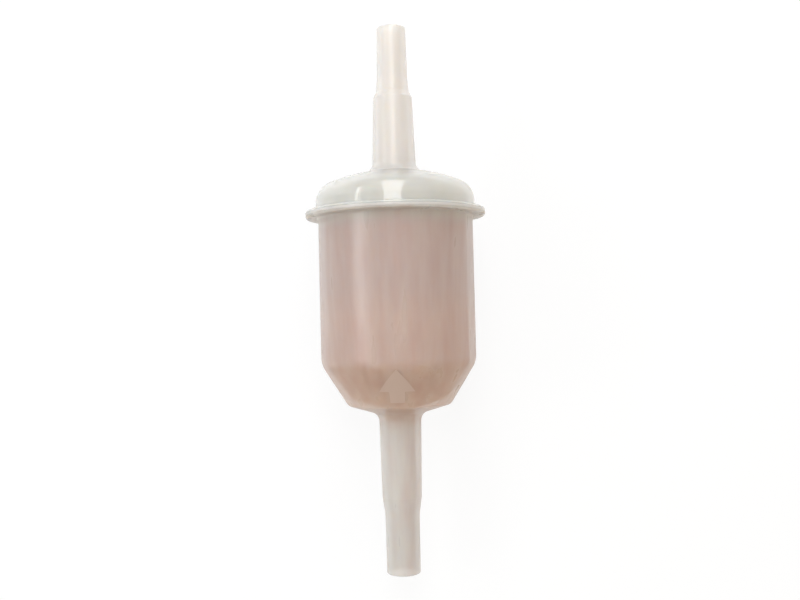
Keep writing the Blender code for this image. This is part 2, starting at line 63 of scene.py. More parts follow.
# Cup, flanges and lid
CUP_RADIUS = 0.01548
CUP_BEND_ROUND = 0.0050
CUP_FLOOR_RADIUS = 0.0103
CUP_FLOOR_ROUND = 0.0012
CUP_FLOOR_SLOPE = math.radians(17.0)
FLANGE_WIDTH = 0.0025
FLANGE_THICKNESS = 0.00058
FLANGE_FILLET = 0.0005
FLANGE_EDGE_ROUND = 0.0004
SEAM_DEPTH = 0.0012
SEAM_SETBACK = 0.00002
SEAM_SPREAD = 0.00012
LID_OVERHANG = 0.00047
LID_SHOULDER_ROUND = 0.0042
LID_CROWN_RADIUS = 0.036

# Spigots and the collar under the lid
INLET_TIP_RADIUS = 0.00335
INLET_NECK_RADIUS = 0.00342
INLET_NECK_LENGTH = 0.0116
INLET_STEP_LENGTH = 0.0035
INLET_STEP_BLEND = 0.012
INLET_STEP_RADIUS = 0.00392
INLET_SHOULDER_ROUND = 0.0006
INLET_ROOT_RADIUS = 0.00422
INLET_ROOT_FILLET = 0.0020
OUTLET_TIP_RADIUS = 0.00290
OUTLET_NECK_RADIUS = 0.00307
OUTLET_NECK_LENGTH = 0.0102
OUTLET_NECK_BLEND = 0.015
OUTLET_FLARE_RADIUS = 0.00334
OUTLET_FLARE_LENGTH = 0.0029
OUTLET_FLARE_ROUND = 0.0008
OUTLET_STEP_LENGTH = 0.0011
OUTLET_STEP_RADIUS = 0.00390
OUTLET_ROOT_RADIUS = 0.00442
OUTLET_ROOT_FILLET = 0.0022
SPIGOT_TIP_WALL = 0.00097
SPIGOT_ROOT_WALL = 0.00105
COLLAR_RADIUS = 0.0045
COLLAR_WALL = 0.0014
COLLAR_BOTTOM = 0.06942

# Ribs inside both mouldings
RIB_THICKNESS = 0.0010
RIB_PAIRS = 3
RIB_ROOT = 0.0005
CUP_RIB_DROP = 0.0005
CUP_RIB_INNER_RADIUS = 0.0060
LID_RIB_INNER_RADIUS = 0.0075

# Flow arrow
ARROW_HEIGHT = 0.00035
ARROW_DROP = 0.0006
ARROW_HEAD_LENGTH = 0.0043
ARROW_SHAFT_LENGTH = 0.0022
ARROW_HEAD_HALF_WIDTH = 0.0034
ARROW_SHAFT_HALF_WIDTH = 0.0015
ARROW_TURN = math.radians(-2.0)
ARROW_SINK = 0.00005
ARROW_SLOPE = 0.0006
ARROW_STRIPS = 13

# Pleated paper
PLEATS = 28
PAPER_THICKNESS = 0.0004
PAPER_OUTER_RADIUS = 0.01262
PAPER_INNER_RADIUS = 0.0074
PAPER_BOTTOM = 0.0435
PAPER_TOP = 0.06802
PAPER_FOLD_BEND = 0.00022
PAPER_FOLD_STEPS = 4
PAPER_DRIFT = 0.00018
PAPER_FINE_DRIFT = 0.0001
PAPER_LEVELS = 12

# Fineness of the turned shells, and the angle from which an edge is shaded sharp
RINGS = 144
CROWN_STEPS = 8
SHOULDER_STEPS = 20
SHARP_ANGLE = math.radians(30)

# Gloss and depth of the milky plastic
COAT_ROUGHNESS = 0.03
COAT_IOR = 1.8
MILK_DEPTH = 0.002
MILK_SPREAD = (1.0, 0.8, 0.6)

# Size and tone of the floor, its share of plain white for the camera, and the world's light
FLOOR_RADIUS = 3.0
FLOOR_DROP = 0.0001
FLOOR_TONE = 0.86
FLOOR_WHITE = 0.88
STUDIO_LEVEL = 0.31

# The photograph's camera, in the filter's own frame
CAMERA_DISTANCE = 0.183
CAMERA_FOOT = 0.0503
CAMERA_AIM = 0.0543
CAMERA_LENS = 41.05
CAMERA_ROLL = math.radians(1.41)
CAMERA_SIDE = 0.00052


# Radii and levels that follow from the sizes
CUP_INNER_RADIUS = CUP_RADIUS - WALL
FLANGE_RADIUS = CUP_RADIUS + FLANGE_WIDTH
LID_RADIUS = CUP_RADIUS + LID_OVERHANG
INLET_BORE_RADIUS = INLET_TIP_RADIUS - SPIGOT_TIP_WALL
INLET_THROAT_RADIUS = INLET_STEP_RADIUS - SPIGOT_ROOT_WALL
OUTLET_BORE_RADIUS = OUTLET_TIP_RADIUS - SPIGOT_TIP_WALL
OUTLET_THROAT_RADIUS = OUTLET_STEP_RADIUS - SPIGOT_ROOT_WALL
COLLAR_BORE_RADIUS = COLLAR_RADIUS - COLLAR_WALL
CUP_BEND_LEVEL = CUP_FLOOR_LEVEL + CONE_HEIGHT
CUP_FLANGE_BOTTOM = CUP_BEND_LEVEL + CUP_WALL_HEIGHT
CUP_FLANGE_TOP = CUP_FLANGE_BOTTOM + FLANGE_THICKNESS
LID_FLANGE_BOTTOM = CUP_FLANGE_TOP + FIT
LID_FLANGE_TOP = LID_FLANGE_BOTTOM + FLANGE_THICKNESS
LID_WALL_TOP = LID_FLANGE_TOP + LID_WALL_HEIGHT
CUP_RIB_TOP = CUP_BEND_LEVEL - CUP_RIB_DROP
LID_RIB_BOTTOM = CUP_FLANGE_BOTTOM - FLANGE_THICKNESS
CONE_ANGLE = math.atan2(CUP_RADIUS - CUP_FLOOR_RADIUS, CONE_HEIGHT)
SHOULDER_CENTRE = LID_RADIUS - LID_SHOULDER_ROUND
CROWN_ANGLE = math.asin(SHOULDER_CENTRE / (LID_CROWN_RADIUS - LID_SHOULDER_ROUND))
CROWN_CENTRE = LID_WALL_TOP - (LID_CROWN_RADIUS - LID_SHOULDER_ROUND) * math.cos(CROWN_ANGLE)
OUTLET_ROOT_LEVEL = CROWN_CENTRE + math.sqrt(LID_CROWN_RADIUS ** 2 - OUTLET_ROOT_RADIUS ** 2)
FILTER_LENGTH = OUTLET_ROOT_LEVEL + OUTLET_LENGTH
ARROW_TIP_LEVEL = CUP_BEND_LEVEL - ARROW_DROP
ARROW_BARB_LEVEL = ARROW_TIP_LEVEL - ARROW_HEAD_LENGTH
ARROW_TAIL_LEVEL = ARROW_BARB_LEVEL - ARROW_SHAFT_LENGTH

# Radius on the inlet's end face that its mount stands at, on one of the frame's 48 facets
END_FACE_MIDDLE = (INLET_BORE_RADIUS + INLET_TIP_RADIUS - EDGE_ROUND * 0.4) / 2
END_FACE_RADIUS = END_FACE_MIDDLE * math.cos(math.pi / 48)


def filter_axis():
    """Matrix from the filter's own frame (axis +Z, arrow towards -Y) to the world."""
    mounts = {m["name"]: m for m in frame["record"]["mounts"]}
    along = Vector(mounts["outlet_end"]["axis"]).normalized()
    side = Vector((1, 0, 0))
    back = along.cross(side).normalized()
    origin = Vector(mounts["inlet_end"]["pos_m"]) + back * END_FACE_RADIUS
    return Matrix.Translation(origin) @ Matrix((side, back, along)).transposed().to_4x4()


AXIS = filter_axis()
ARROW_SIDE = AXIS.to_3x3() @ Vector((0, -1, 0))
ALONG = AXIS.to_3x3() @ Vector((0, 0, 1))


def new_group(name, inputs, outputs):
    """An empty shader node group with named sockets, and its input and output nodes."""
    group = bpy.data.node_groups.new(name, "ShaderNodeTree")
    for label, kind, default in inputs:
        made = group.interface.new_socket(label, in_out="INPUT", socket_type=kind)
        if default is not None:
            made.default_value = default
    for label, kind in outputs:
        group.interface.new_socket(label, in_out="OUTPUT", socket_type=kind)
    return group, group.nodes.new("NodeGroupInput"), group.nodes.new("NodeGroupOutput")


def moulding_flow_group():
    """Slow tone drift and fine streaks along the filter, as melt leaves in a moulding."""
    group, given, out = new_group("moulding_flow", [
        ("Plain", "NodeSocketColor", None),
        ("Deep", "NodeSocketColor", None),
        ("Streaks", "NodeSocketFloat", 0.3),
    ], [("Color", "NodeSocketColor"), ("Mask", "NodeSocketFloat")])
    links = group.links
    place = group.nodes.new("ShaderNodeTexCoord")
    stretch = group.nodes.new("ShaderNodeMapping")
    stretch.inputs["Scale"].default_value = (420, 45, 420)
    links.new(place.outputs["Object"], stretch.inputs["Vector"])
    streak = group.nodes.new("ShaderNodeTexNoise")
    streak.inputs["Scale"].default_value = 1.0
    streak.inputs["Detail"].default_value = 3.0
    links.new(stretch.outputs["Vector"], streak.inputs["Vector"])
    cloud = group.nodes.new("ShaderNodeTexNoise")
    cloud.inputs["Scale"].default_value = 90.0
    cloud.inputs["Detail"].default_value = 2.0
    links.new(place.outputs["Object"], cloud.inputs["Vector"])
    blend = group.nodes.new("ShaderNodeMix")
    blend.data_type = "FLOAT"
    links.new(given.outputs["Streaks"], blend.inputs["Factor"])
    links.new(cloud.outputs["Fac"], blend.inputs["A"])
    links.new(streak.outputs["Fac"], blend.inputs["B"])
    spread = group.nodes.new("ShaderNodeMapRange")
    spread.inputs["From Min"].default_value = 0.3
    spread.inputs["From Max"].default_value = 0.7
    links.new(blend.outputs["Result"], spread.inputs["Value"])
    tone = group.nodes.new("ShaderNodeMix")
    tone.data_type = "RGBA"
    links.new(spread.outputs["Result"], tone.inputs["Factor"])
    links.new(given.outputs["Plain"], tone.inputs["A"])
    links.new(given.outputs["Deep"], tone.inputs["B"])
    links.new(tone.outputs["Result"], out.inputs["Color"])
    links.new(spread.outputs["Result"], out.inputs["Mask"])
    return group


def fine_relief_group():
    """Bump of a fine surface: the height of a small noise, its depth given."""
    group, given, out = new_group("fine_relief", [
        ("Scale", "NodeSocketFloat", 900.0),
        ("Depth", "NodeSocketFloat", 0.00002),
        ("Strength", "NodeSocketFloat", 0.3),
    ], [("Normal", "NodeSocketVector")])
    links = group.links
    place = group.nodes.new("ShaderNodeTexCoord")
    noise = group.nodes.new("ShaderNodeTexNoise")
    noise.inputs["Detail"].default_value = 3.0
    links.new(place.outputs["Object"], noise.inputs["Vector"])
    links.new(given.outputs["Scale"], noise.inputs["Scale"])
    bump = group.nodes.new("ShaderNodeBump")
    links.new(given.outputs["Strength"], bump.inputs["Strength"])
    links.new(given.outputs["Depth"], bump.inputs["Distance"])
    links.new(noise.outputs["Fac"], bump.inputs["Height"])
    links.new(bump.outputs["Normal"], out.inputs["Normal"])
    return group


def tint_by_level_group():
    """A tint and a mask for one stretch of the filter, with soft ends along its axis."""
    group, given, out = new_group("tint_by_level", [
        ("Color", "NodeSocketColor", None),
        ("Tint", "NodeSocketColor", None),
        ("Start", "NodeSocketFloat", 0.0),
        ("Full", "NodeSocketFloat", 0.01),
        ("Fade", "NodeSocketFloat", 0.02),
        ("End", "NodeSocketFloat", 0.03),
    ], [("Color", "NodeSocketColor"), ("Mask", "NodeSocketFloat")])
    links = group.links
    place = group.nodes.new("ShaderNodeTexCoord")
    along = group.nodes.new("ShaderNodeVectorMath")
    along.operation = "DOT_PRODUCT"
    along.inputs[1].default_value = ALONG
    links.new(place.outputs["Object"], along.inputs[0])
    level = group.nodes.new("ShaderNodeMath")
    level.operation = "SUBTRACT"
    level.inputs[1].default_value = ALONG.dot(AXIS.translation)
    links.new(along.outputs["Value"], level.inputs[0])
    share = None
    for first, last, low, high in (("Start", "Full", 0.0, 1.0), ("Fade", "End", 1.0, 0.0)):
        ramp = group.nodes.new("ShaderNodeMapRange")
        ramp.interpolation_type = "SMOOTHSTEP"
        ramp.inputs["To Min"].default_value = low
        ramp.inputs["To Max"].default_value = high
        links.new(level.outputs["Value"], ramp.inputs["Value"])
        links.new(given.outputs[first], ramp.inputs["From Min"])
        links.new(given.outputs[last], ramp.inputs["From Max"])
        if share is None:
            share = ramp.outputs["Result"]
            continue
        both = group.nodes.new("ShaderNodeMath")
        both.operation = "MULTIPLY"
        links.new(share, both.inputs[0])
        links.new(ramp.outputs["Result"], both.inputs[1])
        share = both.outputs["Value"]
    tone = group.nodes.new("ShaderNodeMix")
    tone.data_type = "RGBA"
    tone.blend_type = "MULTIPLY"
    links.new(share, tone.inputs["Factor"])
    links.new(given.outputs["Color"], tone.inputs["A"])
    links.new(given.outputs["Tint"], tone.inputs["B"])
    links.new(tone.outputs["Result"], out.inputs["Color"])
    links.new(share, out.inputs["Mask"])
    return group


FLOW = moulding_flow_group()
RELIEF = fine_relief_group()
TINT = tint_by_level_group()


def place_group(tree, group, **values):
    """Put a node group in a material and set its inputs."""
    node = tree.nodes.new("ShaderNodeGroup")
    node.node_tree = group
    for label, value in values.items():
        node.inputs[label].default_value = value
    return node


def finish(name, plain, deep, roughness, streaks=0.3, relief=(900.0, 0.00002, 0.3), alpha=1.0,
           subsurface=0.0, shine=0.5, tints=(), gloss=()):
    """A procedural finish: toned colour with tints by level, some of them painted light and shade,
    haze in the roughness and a fine relief.
    """
    made = bpy.data.materials.new(name)
    made.use_nodes = True
    tree = made.node_tree
    shader = tree.nodes["Principled BSDF"]
    flow = place_group(tree, FLOW, Plain=(*plain, 1), Deep=(*deep, 1), Streaks=streaks)
    colour = flow.outputs["Color"]
    for tint, start, full, fade, end in tints:
        change = place_group(tree, TINT, Tint=(*tint, 1), Start=start, Full=full,
                             Fade=fade, End=end)
        tree.links.new(colour, change.inputs["Color"])
        colour = change.outputs["Color"]
    tree.links.new(colour, shader.inputs["Base Color"])
    haze = tree.nodes.new("ShaderNodeMapRange")
    haze.inputs["To Min"].default_value = roughness[0]
    haze.inputs["To Max"].default_value = roughness[1]
    tree.links.new(flow.outputs["Mask"], haze.inputs["Value"])
    tree.links.new(haze.outputs["Result"], shader.inputs["Roughness"])
    scale, depth, strength = relief
    skin = place_group(tree, RELIEF, Scale=scale, Depth=depth, Strength=strength)
    tree.links.new(skin.outputs["Normal"], shader.inputs["Normal"])
    shader.inputs["Alpha"].default_value = alpha
    shader.inputs["Specular IOR Level"].default_value = shine
    if gloss:
        low, high, start, full, fade, end = gloss
        band = place_group(tree, TINT, Start=start, Full=full, Fade=fade, End=end)
        share = tree.nodes.new("ShaderNodeMapRange")
        share.inputs["To Min"].default_value = low
        share.inputs["To Max"].default_value = high
        tree.links.new(band.outputs["Mask"], share.inputs["Value"])
        tree.links.new(share.outputs["Result"], shader.inputs["Coat Weight"])
        shader.inputs["Coat Roughness"].default_value = COAT_ROUGHNESS
        shader.inputs["Coat IOR"].default_value = COAT_IOR
    shader.inputs["Subsurface Weight"].default_value = subsurface
    shader.inputs["Subsurface Radius"].default_value = MILK_SPREAD
    shader.inputs["Subsurface Scale"].default_value = MILK_DEPTH
    return made


def arc(centre_r, centre_z, radius, start, end, steps):
    """Points of an arc in the section, its angles measured from straight up."""
    points = []
    for i in range(steps + 1):
        angle = start + (end - start) * i / steps
        points.append((centre_r + radius * math.sin(angle), centre_z + radius * math.cos(angle)))
    return points


def rounded(before, corner, after, radius, steps):
    """The arc that rounds a corner of a section between its two neighbours."""
    corner = Vector(corner)
    to_before = (Vector(before) - corner).normalized()
    to_after = (Vector(after) - corner).normalized()
    half = to_before.angle(to_after) / 2
    centre = corner + (to_before + to_after).normalized() * radius / math.sin(half)
    reach = radius / math.tan(half)
    first = corner + to_before * reach - centre
    last = corner + to_after * reach - centre
    sweep = first.angle_signed(last)
    points = []
    for i in range(steps + 1):
        turn = -sweep * i / steps
        cos, sin = math.cos(turn), math.sin(turn)
        points.append((centre.x + first.x * cos - first.y * sin,
                       centre.y + first.x * sin + first.y * cos))
    return points


def section(corners, steps=6):
    """A closed section from (radius, level, rounding) corners."""
    points = []
    for i, (r, z, rounding) in enumerate(corners):
        if rounding == 0:
            points.append((r, z))
            continue
        before = corners[i - 1][:2]
        after = corners[(i + 1) % len(corners)][:2]
        points += rounded(before, (r, z), after, rounding, steps)
    return points


def turned(name, points):
    """A closed section turned round the axis, in the filter's own frame."""
    shape = bmesh.new()
    loops = []
    for k in range(RINGS):
        angle = math.tau * (k + 0.5) / RINGS
        cos, sin = math.cos(angle), math.sin(angle)
        loops.append([shape.verts.new((r * cos, r * sin, z)) for r, z in points])
    for k in range(RINGS):
        here, there = loops[k], loops[(k + 1) % RINGS]
        for i in range(len(points)):
            j = (i + 1) % len(points)
            shape.faces.new((here[i], here[j], there[j], there[i]))
    bmesh.ops.recalc_face_normals(shape, faces=shape.faces)
    return as_object(name, shape)


def as_object(name, shape):
    """A mesh object from a bmesh in the filter's own frame, not yet placed."""
    mesh = bpy.data.meshes.new(name)
    shape.to_mesh(mesh)
    shape.free()
    mesh.shade_smooth()
    piece = bpy.data.objects.new(name, mesh)
    bpy.context.scene.collection.objects.link(piece)
    return piece


def apply_modifiers(piece):
    """Bake a piece's modifiers into its mesh."""
    graph = bpy.context.evaluated_depsgraph_get()
    mesh = bpy.data.meshes.new_from_object(piece.evaluated_get(graph))
    piece.modifiers.clear()
    piece.data = mesh


def boolean(piece, tool, operation):
    """Join, cut or intersect a piece with a scratch shape, which is then removed."""
    step = piece.modifiers.new(operation, "BOOLEAN")
    step.operation = operation
    step.solver = "EXACT"
    step.object = tool
    apply_modifiers(piece)
    bpy.data.objects.remove(tool)


def settle(piece, material, slot, *nodes):
    """Place a piece in the world, give it its finish and let it ride on the filter."""
    piece.data.transform(AXIS)
    piece.data.materials.clear()
    piece.data.materials.append(material)
    piece.data.shade_smooth()
    piece.data.set_sharp_from_angle(angle=SHARP_ANGLE)
    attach(piece, "root")
    if nodes:
        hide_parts(*nodes)
    return piece


def cone_radius(level, offset=0.0):
    """Outer radius of the cup's cone at a level, moved out square to its face."""
    narrowing = (CUP_BEND_LEVEL - level) * math.tan(CONE_ANGLE)
    return CUP_RADIUS - narrowing + offset / math.cos(CONE_ANGLE)


def floor_level(radius, depth=0.0):
    """Level of the cup's shallow floor at a radius, or of a face at a depth in its wall."""
    outer = CUP_FLOOR_LEVEL - (CUP_FLOOR_RADIUS - radius) * math.tan(CUP_FLOOR_SLOPE)
    return outer + depth / math.cos(CUP_FLOOR_SLOPE)


def floor_corner(depth):
    """Where the cone and the floor of the cup meet at a depth in their wall."""
    narrowing = math.cos(CONE_ANGLE) - math.sin(CUP_FLOOR_SLOPE)
    level = CUP_FLOOR_LEVEL + depth * narrowing / math.cos(CONE_ANGLE + CUP_FLOOR_SLOPE)
    return cone_radius(level, -depth), level


def crown_and_shoulder(depth, inner_radius):
    """The lid's crown from a radius outwards and its shoulder down to the wall."""
    curve = LID_CROWN_RADIUS - depth
    start = math.asin(inner_radius / curve)
    crown = arc(0, CROWN_CENTRE, curve, start, CROWN_ANGLE, CROWN_STEPS)
    shoulder = arc(SHOULDER_CENTRE, LID_WALL_TOP, LID_SHOULDER_ROUND - depth,
                   CROWN_ANGLE, math.pi / 2, SHOULDER_STEPS)
    return crown[:-1] + shoulder


def star_of_plates(name, length, bottom, top):
    """Upright plates through the axis, as one scratch shape for the ribs."""
    shape = bmesh.new()
    for i in range(RIB_PAIRS):
        made = bmesh.ops.create_cube(shape, size=1.0)["verts"]
        bmesh.ops.scale(shape, vec=(length, RIB_THICKNESS, top - bottom), verts=made)
        bmesh.ops.translate(shape, vec=(0, 0, (top + bottom) / 2), verts=made)
        bmesh.ops.rotate(shape, verts=made, matrix=Matrix.Rotation(math.pi * i / RIB_PAIRS, 3, "Z"))
    return as_object(name, shape)


def cup_shell():
    """The cup with its spigot, cone, flange and ribs."""
    step_level = INLET_NECK_LENGTH + INLET_STEP_LENGTH
    inner_bend = CUP_BEND_LEVEL - WALL * math.tan(CONE_ANGLE / 2)
    shell = turned("cup_shell", section([
        (CUP_INNER_RADIUS, CUP_FLANGE_TOP, 0),
        (FLANGE_RADIUS, CUP_FLANGE_TOP, EDGE_ROUND * 0.6),
        (FLANGE_RADIUS, CUP_FLANGE_BOTTOM, FLANGE_EDGE_ROUND),
        (CUP_RADIUS, CUP_FLANGE_BOTTOM, FLANGE_FILLET),
        (CUP_RADIUS, CUP_BEND_LEVEL, CUP_BEND_ROUND),
        (CUP_FLOOR_RADIUS, CUP_FLOOR_LEVEL, CUP_FLOOR_ROUND),
        (INLET_ROOT_RADIUS, floor_level(INLET_ROOT_RADIUS), INLET_ROOT_FILLET),
        (INLET_STEP_RADIUS, step_level, INLET_SHOULDER_ROUND),
        (INLET_NECK_RADIUS, INLET_NECK_LENGTH, INLET_STEP_BLEND),
        (INLET_TIP_RADIUS, 0, EDGE_ROUND),
        (INLET_BORE_RADIUS, 0, EDGE_ROUND * 0.6),
        (INLET_BORE_RADIUS, INLET_NECK_LENGTH, 0),
        (INLET_THROAT_RADIUS, step_level, 0),
        (INLET_THROAT_RADIUS, floor_level(INLET_THROAT_RADIUS, WALL), EDGE_ROUND),
        (*floor_corner(WALL), CUP_FLOOR_ROUND),
        (CUP_INNER_RADIUS, inner_bend, CUP_BEND_ROUND - WALL),
    ]))
    depth = WALL - RIB_ROOT
    envelope = turned("cup_rib_envelope", [
        (CUP_RIB_INNER_RADIUS, CUP_RIB_TOP),
        (cone_radius(CUP_RIB_TOP, -depth), CUP_RIB_TOP),
        floor_corner(depth),
        (CUP_RIB_INNER_RADIUS, floor_level(CUP_RIB_INNER_RADIUS, depth)),
    ])
    ribs = star_of_plates("cup_ribs", 2 * CUP_RADIUS, CUP_FLOOR_LEVEL - 2 * WALL,
                          CUP_RIB_TOP + WALL)
    boolean(ribs, envelope, "INTERSECT")
    boolean(shell, ribs, "UNION")
    return shell


def raised_arrow():
    """The flow arrow as a low raised form with soft edges that follows the cone."""
    outline = [
        (0, ARROW_TIP_LEVEL),
        (-ARROW_HEAD_HALF_WIDTH, ARROW_BARB_LEVEL),
        (-ARROW_SHAFT_HALF_WIDTH, ARROW_BARB_LEVEL),
        (-ARROW_SHAFT_HALF_WIDTH, ARROW_TAIL_LEVEL),
        (ARROW_SHAFT_HALF_WIDTH, ARROW_TAIL_LEVEL),
        (ARROW_SHAFT_HALF_WIDTH, ARROW_BARB_LEVEL),
        (ARROW_HEAD_HALF_WIDTH, ARROW_BARB_LEVEL),
    ]
    shape = bmesh.new()
    top = shape.faces.new([shape.verts.new((x, z, 0)) for x, z in outline])
    top.normal_update()
    if top.normal.z < 0:
        top.normal_flip()
    for across, up in ((0.7, 0.85), (0.3, 0.15)):
        bmesh.ops.inset_region(shape, faces=[top], thickness=ARROW_SLOPE * across,
                               depth=ARROW_HEIGHT * up)
    rim = [e for e in shape.edges if e.is_boundary]
    sunk = bmesh.ops.extrude_edge_only(shape, edges=rim)["geom"]
    low = [v for v in sunk if isinstance(v, bmesh.types.BMVert)]
    for vert in low:
        vert.co.z = -ARROW_SINK
    bmesh.ops.contextual_create(shape, geom=[e for e in shape.edges if e.is_boundary])
    for i in range(1, ARROW_STRIPS):
        x = ARROW_HEAD_HALF_WIDTH * (2 * i / ARROW_STRIPS - 1)
        whole = list(shape.verts) + list(shape.edges) + list(shape.faces)
        bmesh.ops.bisect_plane(shape, geom=whole, plane_co=(x, 0, 0), plane_no=(1, 0, 0), dist=1e-7)
    for vert in shape.verts:
        x, z, rise = vert.co
        radius = cone_radius(z, rise)
        angle = x / cone_radius(ARROW_BARB_LEVEL) + ARROW_TURN - math.pi / 2
        vert.co = (radius * math.cos(angle), radius * math.sin(angle), z)
    bmesh.ops.recalc_face_normals(shape, faces=shape.faces)
    return as_object("raised_arrow", shape)


def lid_shell():
    """The lid with its crown, spigot, flange, collar and ribs."""
    neck_level = FILTER_LENGTH - OUTLET_NECK_LENGTH
    flare_level = neck_level - OUTLET_FLARE_LENGTH
    step_level = flare_level - OUTLET_STEP_LENGTH
    inner_radius = LID_RADIUS - WALL
    crown = crown_and_shoulder(0, OUTLET_ROOT_RADIUS + OUTLET_ROOT_FILLET)
    start_radius, start_level = crown[0]
    crown_slope = start_radius / (start_level - CROWN_CENTRE)
    root_level = start_level + OUTLET_ROOT_FILLET * crown_slope
    ceiling = crown_and_shoulder(WALL, COLLAR_RADIUS)
    corners = [
        (OUTLET_BORE_RADIUS, FILTER_LENGTH, EDGE_ROUND * 0.6),
        (OUTLET_TIP_RADIUS, FILTER_LENGTH, EDGE_ROUND),
        (OUTLET_NECK_RADIUS, neck_level, OUTLET_NECK_BLEND),
        (OUTLET_FLARE_RADIUS, flare_level, OUTLET_FLARE_ROUND),
        (OUTLET_STEP_RADIUS, step_level, EDGE_ROUND * 2),
        (OUTLET_ROOT_RADIUS, root_level, OUTLET_ROOT_FILLET),
    ]
    corners += [(r, z, 0) for r, z in crown]
    corners += [
        (LID_RADIUS, LID_FLANGE_TOP, FLANGE_FILLET * 0.6),
        (FLANGE_RADIUS, LID_FLANGE_TOP, FLANGE_EDGE_ROUND),
        (FLANGE_RADIUS, LID_FLANGE_BOTTOM, EDGE_ROUND * 0.6),
        (inner_radius, LID_FLANGE_BOTTOM, 0),
    ]
    corners += [(r, z, 0) for r, z in reversed(ceiling)]
    corners += [
        (COLLAR_RADIUS, COLLAR_BOTTOM, EDGE_ROUND),
        (COLLAR_BORE_RADIUS, COLLAR_BOTTOM, EDGE_ROUND),
        (OUTLET_THROAT_RADIUS, step_level, 0),
        (OUTLET_BORE_RADIUS, flare_level, 0),
    ]
    shell = turned("lid_shell", section(corners))
    pilot = CUP_INNER_RADIUS - FIT
    joint = LID_FLANGE_BOTTOM + RIB_ROOT / 2
    depth = WALL - RIB_ROOT
    envelope = turned("lid_rib_envelope", crown_and_shoulder(depth, LID_RIB_INNER_RADIUS) + [
        (LID_RADIUS - depth, joint),
        (pilot, joint),
        (pilot, LID_RIB_BOTTOM),
        (LID_RIB_INNER_RADIUS, LID_RIB_BOTTOM),
    ])
    top = LID_WALL_TOP + LID_SHOULDER_ROUND + WALL
    ribs = star_of_plates("lid_ribs", 2 * LID_RADIUS, LID_RIB_BOTTOM - WALL, top)
    boolean(ribs, envelope, "INTERSECT")
    boolean(shell, ribs, "UNION")
    return shell


def weld_seam():
    """The melt that joins the two flanges and fills the groove between their edges."""
    face = FLANGE_RADIUS - SEAM_SETBACK
    groove = FLANGE_RADIUS - SEAM_SPREAD * 1.4
    points = section([
        (FLANGE_RADIUS - SEAM_DEPTH, LID_FLANGE_BOTTOM, 0),
        (groove, LID_FLANGE_BOTTOM, 0),
        (face, LID_FLANGE_BOTTOM + SEAM_SPREAD, SEAM_SPREAD * 0.3),
        (face, CUP_FLANGE_TOP - SEAM_SPREAD, SEAM_SPREAD * 0.3),
        (groove, CUP_FLANGE_TOP, 0),
        (FLANGE_RADIUS - SEAM_DEPTH, CUP_FLANGE_TOP, 0),
    ], steps=3)
    seam = turned("weld_seam", points)
    for vert in seam.data.vertices:
        angle = math.atan2(vert.co.y, vert.co.x)
        pull = SEAM_SETBACK * (0.4 * math.sin(9 * angle) + 0.3 * math.sin(23 * angle + 1.3))
        vert.co.x += pull * math.cos(angle)
        vert.co.y += pull * math.sin(angle)
    return seam


def pleated_paper():
    """The folded paper: rounded folds, and flanks that wander a little between them."""
    pitch = math.tau / PLEATS
    shape = bmesh.new()
    columns = []
    for i in range(PLEATS):
        drift = PAPER_DRIFT * math.sin(i * 2.4) + PAPER_FINE_DRIFT * math.sin(i * 5.1 + 0.7)
        for radius, inward, angle in ((PAPER_OUTER_RADIUS, -1, pitch * i),
                                      (PAPER_INNER_RADIUS, 1, pitch * (i + 0.5))):
            middle = radius + inward * (PAPER_FOLD_BEND + PAPER_THICKNESS / 2)
            for step in range(PAPER_FOLD_STEPS + 1):
                turn = math.pi * (step / PAPER_FOLD_STEPS - 0.5)
                across = PAPER_FOLD_BEND * math.sin(turn) * -inward
                out = middle - inward * PAPER_FOLD_BEND * math.cos(turn)
                columns.append((out, across * -inward, angle, drift))
    grid = []
    for out, across, angle, drift in columns:
        column = []
        for k in range(PAPER_LEVELS + 1):
            share = k / PAPER_LEVELS
            z = PAPER_BOTTOM + (PAPER_TOP - PAPER_BOTTOM) * share
            bow = drift * math.sin(math.pi * share)
            side = across + bow * (out / PAPER_OUTER_RADIUS)
            column.append(shape.verts.new((out * math.cos(angle) - side * math.sin(angle),
                                           out * math.sin(angle) + side * math.cos(angle), z)))
        grid.append(column)
    for i in range(len(grid)):
        here, there = grid[i], grid[(i + 1) % len(grid)]
        for k in range(PAPER_LEVELS):
            shape.faces.new((here[k], there[k], there[k + 1], here[k + 1]))
    bmesh.ops.recalc_face_normals(shape, faces=shape.faces)
    paper = as_object("pleated_paper", shape)
    sheet = paper.modifiers.new("sheet", "SOLIDIFY")
    sheet.thickness = PAPER_THICKNESS
    sheet.offset = 0
    sheet.use_even_offset = False
    apply_modifiers(paper)
    return paper


